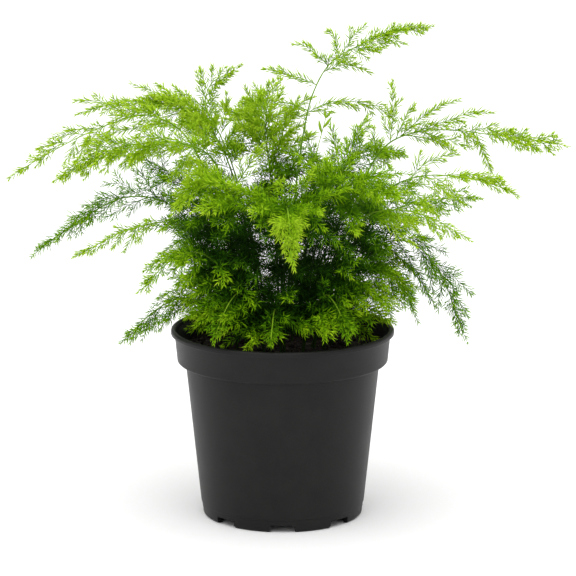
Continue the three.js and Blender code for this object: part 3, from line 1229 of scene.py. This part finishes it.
@dataclass
class Pot:
    """The nursery pot: a tapered shell with a deep collar, a rolled lip and a slotted foot."""

    lip_depth: float = 2.8 * MM
    lip_width: float = 2.7 * MM
    collar_depth: float = 18 * MM
    collar_top: float = 58 * MM
    collar_bottom: float = 56.6 * MM
    wall_top: float = 52.2 * MM
    wall_bottom: float = 44.1 * MM
    band_height: float = 6.9 * MM
    band_step: float = 0.4 * MM
    foot_radius: float = 42.3 * MM
    foot_width: float = 2.2 * MM
    wall: float = 1.2 * MM
    floor_bottom: float = 2.4 * MM
    floor_top: float = 3.7 * MM
    slots: int = 8
    slot_width: float = 14 * MM
    slot_height: float = 3.9 * MM
    slot_taper: float = 0.8 * MM
    slot_inner_radius: float = 35 * MM
    crease: float = 38.0
    sides: int = 216

    def __post_init__(self) -> None:
        """Takes the height and the lip's radius from the frame."""
        low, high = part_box("pot")
        self.height = high.z - low.z
        self.lip_radius = (high.x - low.x) / 2
        self.collar_z = self.height - self.collar_depth

    def inner_collar(self, z: float) -> float:
        """Finds the collar's inner radius at a height.

        Args:
            z: Height above the floor.

        Returns:
            The radius.
        """
        share = (z - self.collar_z) / (self.height - self.lip_depth - self.collar_z)
        return self.collar_bottom + (self.collar_top - self.collar_bottom) * share - self.wall

    def inner_wall(self, z: float) -> float:
        """Finds the wall's inner radius at a height.

        Args:
            z: Height above the floor.

        Returns:
            The radius.
        """
        share = (z - self.band_height) / (self.collar_z - self.band_height)
        return self.wall_bottom + (self.wall_top - self.wall_bottom) * share - self.wall

    @staticmethod
    def arc(r: float, z: float, radius: float, first: float, last: float, steps: int) -> list:
        """Lists the points of an arc in the section.

        Args:
            r: The centre's radius from the axis.
            z: The centre's height.
            radius: The arc's radius.
            first: First angle in degrees.
            last: Last angle in degrees.
            steps: Steps between them.

        Returns:
            The points.
        """
        angles = np.radians(np.linspace(first, last, steps + 1))
        return [(r + radius * math.cos(a), z + radius * math.sin(a)) for a in angles]

    def section(self) -> list[tuple[float, float]]:
        """Lists the shell's section, up the outside and down the inside.

        Returns:
            Each point's radius and height.
        """
        lip_z = self.height - self.lip_depth
        shoulder = self.collar_z - self.wall
        bead = self.lip_width / 2
        corner = 1.2 * MM
        edge = 0.35 * MM
        inner_shoulder = self.inner_collar(self.collar_z)
        foot_inner = self.foot_radius - self.foot_width
        return [
            (0.0, self.floor_bottom),
            (foot_inner - 0.8 * MM, self.floor_bottom),
            (foot_inner - 0.1 * MM, edge),
            *self.arc(foot_inner + edge, edge, edge, 200, 270, 3),
            *self.arc(self.foot_radius - edge, edge, edge, 270, 320, 3),
            (self.foot_radius + 0.7 * MM, 0.8 * MM),
            (self.foot_radius + 0.95 * MM, 1.6 * MM),
            (self.wall_bottom - self.band_step, self.band_height - 0.45 * MM),
            (self.wall_bottom - self.band_step * 0.9, self.band_height - 0.3 * MM),
            (self.wall_bottom - 0.05 * MM, self.band_height - 0.1 * MM),
            (self.wall_bottom + 0.02 * MM, self.band_height + 0.2 * MM),
            (self.wall_bottom + (self.wall_top - self.wall_bottom) * 0.5,
             (self.band_height + self.collar_z) / 2),
            (self.wall_top - 0.06 * MM, self.collar_z - 0.5 * MM),
            *self.arc(self.wall_top + 0.5 * MM, self.collar_z - 0.5 * MM, 0.5 * MM, 180, 90, 3),
            *self.arc(self.collar_bottom - corner, self.collar_z + corner, corner, -90, 0, 6),
            (self.collar_top - 0.1 * MM, lip_z - 0.6 * MM),
            *self.arc(self.collar_top + 0.4 * MM, lip_z - 0.4 * MM, 0.4 * MM, 180, 90, 3),
            (self.lip_radius - 0.35 * MM, lip_z),
            *self.arc(self.lip_radius - 0.3 * MM, lip_z + 0.3 * MM, 0.3 * MM, -80, 0, 3),
            *self.arc(self.lip_radius - bead, self.height - bead, bead, 0, 180, 14),
            (self.lip_radius - self.lip_width, lip_z),
            (self.inner_collar(lip_z), lip_z - 0.6 * MM),
            *self.arc(inner_shoulder + 0.1 * MM - 0.8 * MM, self.collar_z + 0.8 * MM, 0.8 * MM, 0, -90, 4),
            *self.arc(self.inner_wall(shoulder) + 0.5 * MM, self.collar_z - 0.5 * MM, 0.5 * MM, 90, 180, 3),
            (self.inner_wall(self.band_height), self.band_height),
            (self.inner_wall(self.band_height) - 0.9 * MM, self.floor_top),
            (0.0, self.floor_top),
        ]

    def shell(self) -> bpy.types.Object:
        """Turns the section round the axis.

        Returns:
            The shell, with no slots yet.
        """
        section = self.section()
        turns = np.arange(self.sides) * 2 * math.pi / self.sides
        points = [(0.0, 0.0, section[0][1]), (0.0, 0.0, section[-1][1])]
        body = section[1:-1]
        for r, z in body:
            points += [(r * math.cos(a), r * math.sin(a), z) for a in turns]
        faces = []
        for row in range(len(body) - 1):
            low, high = 2 + row * self.sides, 2 + (row + 1) * self.sides
            for k in range(self.sides):
                after = (k + 1) % self.sides
                faces.append((low + k, low + after, high + after, high + k))
        last = 2 + (len(body) - 1) * self.sides
        for k in range(self.sides):
            after = (k + 1) % self.sides
            faces.append((0, 2 + after, 2 + k))
            faces.append((1, last + k, last + after))
        mesh = bpy.data.meshes.new("pot_shell")
        mesh.from_pydata(points, [], faces)
        made = bpy.data.objects.new("pot_shell", mesh)
        bpy.context.scene.collection.objects.link(made)
        return made

    def cutters(self) -> bpy.types.Object:
        """Makes the bars that cut the drain slots.

        Returns:
            The bars, as one object.
        """
        points, faces = [], []
        half, deep = self.slot_width / 2, self.slot_height
        top = half - self.slot_taper
        outline = ((-half, -deep), (half, -deep), (top, deep), (-top, deep))
        for i in range(self.slots):
            turn = i * 2 * math.pi / self.slots - math.pi / 2
            ahead = np.array([math.cos(turn), math.sin(turn), 0.0])
            aside = np.array([-math.sin(turn), math.cos(turn), 0.0])
            first = len(points)
            for out in (self.slot_inner_radius, self.lip_radius):
                for side, z in outline:
                    points.append(tuple(ahead * out + aside * side + UP * z))
            box = ((3, 2, 1, 0), (4, 5, 6, 7), (0, 1, 5, 4), (1, 2, 6, 5), (2, 3, 7, 6), (3, 0, 4, 7))
            faces += [tuple(first + v for v in face) for face in box]
        mesh = bpy.data.meshes.new("slot_cutters")
        mesh.from_pydata(points, [], faces)
        made = bpy.data.objects.new("slot_cutters", mesh)
        bpy.context.scene.collection.objects.link(made)
        return made

    def build(self, material: bpy.types.Material) -> bpy.types.Object:
        """Args:
            material: The plastic.

        Returns:
            The pot.
        """
        shell, cutters = self.shell(), self.cutters()
        cut = shell.modifiers.new("slots", "BOOLEAN")
        cut.operation = "DIFFERENCE"
        cut.solver = "EXACT"
        cut.object = cutters
        bpy.context.view_layer.update()
        result = shell.evaluated_get(bpy.context.evaluated_depsgraph_get())
        mesh = bpy.data.meshes.new_from_object(result)
        shell.modifiers.clear()
        shell.data = mesh
        bpy.data.objects.remove(cutters)
        mesh.polygons.foreach_set("use_smooth", np.ones(len(mesh.polygons), bool))
        mesh.set_sharp_from_angle(angle=math.radians(self.crease))
        mesh.materials.clear()
        mesh.materials.append(material)
        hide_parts("pot")
        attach(shell, ROOT)
        LOG.info("pot: %d faces", len(mesh.polygons))
        return shell


@dataclass
class Soil:
    """The soil: a crumbly mound that fills the pot, with loose crumbs and bark on it."""

    pot: Pot
    gap: float = 0.25 * MM
    rings: int = 74
    sides: int = 220
    lumps: float = 1.1 * MM
    crumbs: int = 1150
    slivers: int = 90
    seed: int = 11

    def __post_init__(self) -> None:
        """Takes the surface's height from the frame."""
        self.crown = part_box("soil")[1].z
        self.rise = 3.0 * MM
        self.edge_z = self.crown - self.rise
        self.radius = self.pot.inner_collar(self.edge_z) - self.gap
        self.coarse, self.fine = Noise(self.seed), Noise(self.seed + 1)

    def height(self, x: np.ndarray, y: np.ndarray) -> np.ndarray:
        """Finds the surface's height.

        Args:
            x: Places across.
            y: Places in depth.

        Returns:
            The heights.
        """
        share = np.minimum(np.hypot(x, y) / self.radius, 1.0)
        mound = self.edge_z + self.rise * (1 - share**2)
        rough = (
            1.0 * self.coarse.at(x, y, 11 * MM)
            + 0.75 * self.fine.at(x, y, 4.3 * MM)
            + 0.5 * np.abs(self.coarse.at(y, x, 1.9 * MM))
            + 0.25 * self.fine.at(y, x, 1.0 * MM)
        )
        return mound + self.lumps * rough

    def body(self, material: bpy.types.Material) -> bpy.types.Object:
        """Makes the closed body of soil.

        Args:
            material: The soil.

        Returns:
            The piece.
        """
        pot = self.pot
        turns = np.arange(self.sides) * 2 * math.pi / self.sides
        grid = np.sqrt(np.linspace(0, 1, self.rings + 1)[1:]) ** 1.15 * self.radius
        x = (grid[:, None] * np.cos(turns)).ravel()
        y = (grid[:, None] * np.sin(turns)).ravel()
        top = np.stack([x, y, self.height(x, y)], axis=1)
        shoulder = pot.collar_z - pot.wall
        walls = [
            (pot.inner_collar(pot.collar_z) - 3 * self.gap, pot.collar_z + 1.3 * MM),
            (pot.inner_wall(shoulder) - self.gap, shoulder - 0.2 * MM),
            (pot.inner_wall(pot.band_height) - self.gap, pot.band_height + self.gap),
            (pot.inner_wall(pot.band_height) - 5 * self.gap, pot.floor_top + self.gap),
        ]
        rows = [top]
        for r, z in walls:
            rows.append(np.stack([r * np.cos(turns), r * np.sin(turns), np.full(self.sides, z)], axis=1))
        centre_z = float(self.height(np.array([0.0]), np.array([0.0]))[0])
        points = np.vstack([*rows, [[0, 0, centre_z], [0, 0, pot.floor_top + self.gap]]])
        count = self.rings + len(walls)
        k = np.arange(self.sides)
        after = (k + 1) % self.sides
        start = (np.arange(count - 1) * self.sides)[:, None]
        a, b = start + k, start + after
        crown, base = count * self.sides, count * self.sides + 1
        last = (count - 1) * self.sides
        faces = np.concatenate([
            np.stack([a, a + self.sides, b + self.sides], axis=-1).reshape(-1, 3),
            np.stack([a, b + self.sides, b], axis=-1).reshape(-1, 3),
            np.stack([np.full(self.sides, crown), k, after], axis=-1),
            np.stack([np.full(self.sides, base), last + after, last + k], axis=-1),
        ])
        buffer = MeshBuffer()
        buffer.add(points, faces, 0.5, 0.5)
        piece = buffer.build("soil_body", material)
        piece.data.uv_layers.remove(piece.data.uv_layers[0])
        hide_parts("soil")
        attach(piece, ROOT)
        LOG.info("soil: %d faces", len(piece.data.polygons))
        return piece

    def litter(self, material: bpy.types.Material) -> bpy.types.Object:
        """Scatters crumbs, grit and slivers of bark over the surface.

        Args:
            material: The crumbs.

        Returns:
            The piece.
        """
        random = np.random.default_rng(self.seed + 2)
        golden = (1 + math.sqrt(5)) / 2
        corners = []
        for a in (-1.0, 1.0):
            for b in (-golden, golden):
                corners += [(0, a, b), (a, b, 0), (b, 0, a)]
        corners = unit(np.array(corners))
        faces = self.hull(corners)
        buffer = MeshBuffer()
        total = self.crumbs + self.slivers
        for i in range(total):
            sliver = i >= self.crumbs
            spread = math.sqrt(random.random()) * (self.radius - 1.6 * MM)
            turn = random.uniform(0, 2 * math.pi)
            x, y = spread * math.cos(turn), spread * math.sin(turn)
            size = MM * (0.45 + 1.5 * random.random() ** 3)
            shape = random.uniform(0.7, 1.25, (12, 1)) * corners * size
            stretch = np.array([1.0, random.uniform(0.6, 1.0), random.uniform(0.5, 0.9)])
            if sliver:
                stretch = np.array([random.uniform(2.5, 5.0), 0.7, 0.35])
            shape = shape * stretch
            spin, tip = random.uniform(0, 2 * math.pi), random.normal(0, 0.35)
            cs, sn, ct, st = math.cos(spin), math.sin(spin), math.cos(tip), math.sin(tip)
            tilt = np.array([[ct, 0, -st], [0, 1, 0], [st, 0, ct]])
            turned = np.array([[cs, -sn, 0], [sn, cs, 0], [0, 0, 1]])
            shape = shape @ tilt.T @ turned.T
            z = float(self.height(np.array([x]), np.array([y]))[0])
            shape += np.array([x, y, z + size * 0.3])
            tone = float(np.clip(random.beta(1.6, 3.2) + (0.15 if sliver else 0), 0.02, 0.98))
            buffer.add(shape, faces, tone, 0.5)
        piece = buffer.build("soil_crumbs", material, smooth=False)
        piece.data.uv_layers.remove(piece.data.uv_layers[0])
        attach(piece, ROOT)
        LOG.info("crumbs: %d faces", len(piece.data.polygons))
        return piece

    @staticmethod
    def hull(corners: np.ndarray) -> np.ndarray:
        """Finds the faces of the twenty-sided solid.

        Args:
            corners: Its twelve corners on a unit sphere.

        Returns:
            The faces, pointing out.
        """
        edge = np.linalg.norm(corners[:, None] - corners[None], axis=2)
        near = (edge > 0.1) & (edge < 1.2)
        faces = []
        for a in range(12):
            for b in range(a + 1, 12):
                for c in range(b + 1, 12):
                    if near[a, b] and near[b, c] and near[a, c]:
                        out = np.dot(np.cross(corners[b] - corners[a], corners[c] - corners[a]), corners[a])
                        faces.append((a, b, c) if out > 0 else (a, c, b))
        return np.array(faces)


# ------------------------------------------------------------------------------------------- studio


@dataclass
class Studio:
    """A pale floor, soft lights and the camera."""

    elevation: float = 12.2
    distance: float = 1.65
    aim_x: float = 2.9 * MM
    aim_z: float = 123.5 * MM
    lens: float = 192.6
    world: float = 0.68
    floor_size: float = 12.0

    def floor(self) -> None:
        """Lays the floor."""
        half = self.floor_size / 2
        corners = [(-half, -half, 0), (half, -half, 0), (half, half, 0), (-half, half, 0)]
        mesh = bpy.data.meshes.new("studio_floor")
        mesh.from_pydata(corners, [], [(0, 1, 2, 3)])
        mesh.materials.append(FloorFinish().material())
        made = bpy.data.objects.new("studio_floor", mesh)
        bpy.context.scene.collection.objects.link(made)
        made.location.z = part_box("pot")[0].z - 0.05 * MM

    def soft_sun(self, name: str, place: tuple, spread: float, strength: float) -> None:
        """Adds one broad soft light from far away.

        Args:
            name: The light's name.
            place: A point that it shines from, towards the plant.
            spread: The width of its soft disc in degrees.
            strength: Its strength.
        """
        data = bpy.data.lights.new(name, "SUN")
        data.angle = math.radians(spread)
        data.energy = strength
        lamp = bpy.data.objects.new(name, data)
        lamp.rotation_euler = (-Vector(place)).to_track_quat("-Z", "Y").to_euler()
        bpy.context.scene.collection.objects.link(lamp)

    def camera(self) -> None:
        """Sets up the camera, level left to right and looking a little down."""
        rise = math.radians(self.elevation)
        data = bpy.data.cameras.new("camera")
        data.lens = self.lens
        data.sensor_width = 36
        data.clip_start = 0.05
        data.clip_end = 50
        made = bpy.data.objects.new("camera", data)
        aim = Vector((self.aim_x, 0.0, self.aim_z))
        made.location = aim + Vector((0, -math.cos(rise), math.sin(rise))) * self.distance
        made.rotation_euler = (math.pi / 2 - rise, 0, 0)
        bpy.context.scene.collection.objects.link(made)
        bpy.context.scene.camera = made

    def build(self) -> None:
        """Sets up the world, the floor, the lights and the camera."""
        world = bpy.data.worlds.new("studio")
        world.use_nodes = True
        background = world.node_tree.nodes["Background"]
        background.inputs["Color"].default_value = (1, 1, 1, 1)
        background.inputs["Strength"].default_value = self.world
        bpy.context.scene.world = world
        bpy.context.scene.view_settings.view_transform = "Standard"
        self.floor()
        self.soft_sun("overhead", (-0.05, -0.1, 1.0), 90, 2.4)
        self.soft_sun("front", (-0.1, -0.9, 0.9), 90, 0.7)
        self.camera()


BUDS: dict[str, tuple[Bud, ...]] = {
    "shoot_new": (
        Bud(0.93, 8 * MM, 0), Bud(0.95, 7 * MM, 180), Bud(0.99, 5 * MM, 40), Bud(0.99, 5 * MM, 200),
    ),
    "shoot_spear": (Bud(0.92, 7 * MM, 180), Bud(0.96, 6 * MM, 0), Bud(0.97, 7 * MM, 100)),
}


FORMS: dict[str, Form] = {
    "tall": Form(start=0.74, width=0.62, skirt_top=200.0, limbs=(
        Limb(242, (6, 6, 254)),
        Limb(247, (25, 12, 260)),
        Limb(239, (46, 4, 239)),
        Limb(232, (-10, 12, 240), 1.0),
        Limb(217, (60, 14, 212), 9.0),
        Limb(218, (-6, 4, 222), 2.0),
    )),
    "right_long": Form(start=0.74, width=0.68, sparse=1.2, limbs=(
        Limb(203, (58, -4, 236), 0.0, 1.5),
        Limb(206, (92, -12, 227), 3.0, 1.2),
        Limb(209, (99, -16, 202), 1.0),
        Limb(207, (91, 0, 198), 1.0),
        Limb(205, (70, 6, 222), 2.0),
        Limb(196, (48, -10, 212), 1.0),
        Limb(208, (110, -10, 220), 2.0),
    )),
    "left_long": Form(start=0.52, width=0.86, lift=0.06, sparse=1.8, limbs=(
        Limb(213, (-92, 14, 222), 2.0),
        Limb(212, (-100, -14, 206), 2.0),
    )),
    "left_back_high": Form(width=1.1, limbs=(
        Limb(211, (-114, 72, 206), 5.0),
        Limb(209, (-83, 72, 223), 1.0),
        Limb(206, (-70, 80, 222), 1.0),
        Limb(204, (-60, 60, 224), 1.0),
    )),
    "back_left_high": Form(width=0.8, skirt_top=190.0, limbs=(
        Limb(199, (-74, 21, 191), 3.0),
        Limb(205, (-58, 30, 222), 1.0),
    )),
    "back_high": Form(start=0.5, width=1.2, skirt_top=200.0, limbs=(
        Limb(196, (14, 60, 208), 3.0, 1.3),
        Limb(200, (-40, 62, 214), 3.0, 1.3),
        Limb(190, (-30, 20, 212), 4.0, 1.3),
        Limb(185, (6, 22, 205), 4.0, 1.3),
        Limb(202, (-20, 40, 226), 1.0, 1.3),
        Limb(202, (0, 50, 224), 1.0, 1.3),
    )),
    "back_right_high": Form(start=0.48, width=1.05, skirt_top=180.0, limbs=(
        Limb(160, (30, 20, 200), 2.0, 1.3),
        Limb(170, (12, 30, 204), 1.0, 1.3),
        Limb(165, (44, 22, 196), 3.0, 1.3),
    )),
    "front_centre": Form(skirt_top=180.0, limbs=(
        Limb(170, (-50, -58, 190), 5.0, 1.4),
        Limb(172, (-46, -70, 178), 5.0, 1.4),
        Limb(170, (38, -60, 187), 5.0, 1.4),
        Limb(168, (20, -76, 178), 4.0, 1.4),
        Limb(165, (-26, -66, 192), 3.0, 1.4),
        Limb(165, (16, -52, 198), 2.0, 1.4),
        Limb(172, (-16, -80, 180), 3.0, 1.4),
    )),
    "front_left": Form(start=0.48, width=1.2, skirt_top=186.0, limbs=(
        Limb(180, (-10, -40, 208), 2.0, 1.3),
        Limb(178, (-48, -34, 200), 3.0, 1.3),
    )),
    "front_right": Form(start=0.48, width=1.2, skirt_top=186.0, limbs=(
        Limb(178, (8, -40, 202), 2.0, 1.3),
        Limb(180, (34, -20, 206), 2.0, 1.3),
    )),
    "right_front": Form(start=0.5, width=1.1, skirt_top=160.0, lift=0.24, sparse=1.9),
    "right_front_low": Form(start=0.45, width=1.15, skirt_top=150.0, lift=0.24, sparse=2.3),
    "front_low_left": Form(width=1.1, skirt_top=138.0, lift=-0.26, sparse=1.7),
    "front_low_right": Form(width=1.1, skirt_top=138.0, lift=-0.26, sparse=1.7),
    "front_low": Form(width=1.1, skirt_top=138.0, lift=-0.04, sparse=1.7),
    "left_back": Form(skirt_top=150.0, lift=0.06, sparse=1.7),
    "left_front_mid": Form(width=0.8, skirt_top=150.0, lift=0.16, sparse=1.9),
    "front_left_mid": Form(width=0.9, skirt_top=150.0, sparse=1.4),
    "left_drooping": Form(skirt_top=140.0, lift=0.06, sparse=1.4),
    "right_back": Form(skirt_top=150.0, sparse=1.5),
    "right_drooping": Form(width=1.1, skirt_top=160.0, sparse=1.3, limbs=(
        Limb(140, (58, -14, 110), 4.0),
        Limb(146, (72, -12, 108), 3.0),
        Limb(148, (82, 6, 112), 3.0),
        Limb(132, (46, -20, 106), 4.0),
    )),
}


def main() -> None:
    """Builds the fern and reports its pieces."""
    logging.basicConfig(level=logging.INFO, format="%(name)s: %(message)s")
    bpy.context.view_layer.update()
    slots = {entry["node"]: entry["material_slot"] for entry in frame["record"]["subparts"]}
    studio = Studio()
    studio.build()
    pot = Pot()
    pot.build(PlasticFinish().material())
    soil = Soil(pot)
    soil.body(SoilFinish().material())
    soil.litter(CrumbFinish().material())
    ground = Ground(soil)
    needles, stems = NeedleFinish().material(), StemFinish().material()
    names = sorted(name.removeprefix("stem_") for name in frame["nodes"] if name.startswith("stem_"))
    for seed, name in enumerate(names):
        line = Line.of_stem(frame["nodes"][f"stem_{name}"])
        Stalk(name, line, buds=BUDS.get(name, ())).build(stems)
        if f"foliage_{name}" not in slots:
            continue
        tone = Tone(slots[f"foliage_{name}"])
        spray = Spray(name, line, tone, FORMS.get(name, Form()), Habit(), ground, 100 + seed)
        spray.grow()
        spray.build(needles)
    faces = sum(len(o.data.polygons) for o in bpy.data.objects if o.type == "MESH" and not o.hide_render)
    LOG.info("faces in all: %d", faces)


if __name__ == "__main__":
    main()
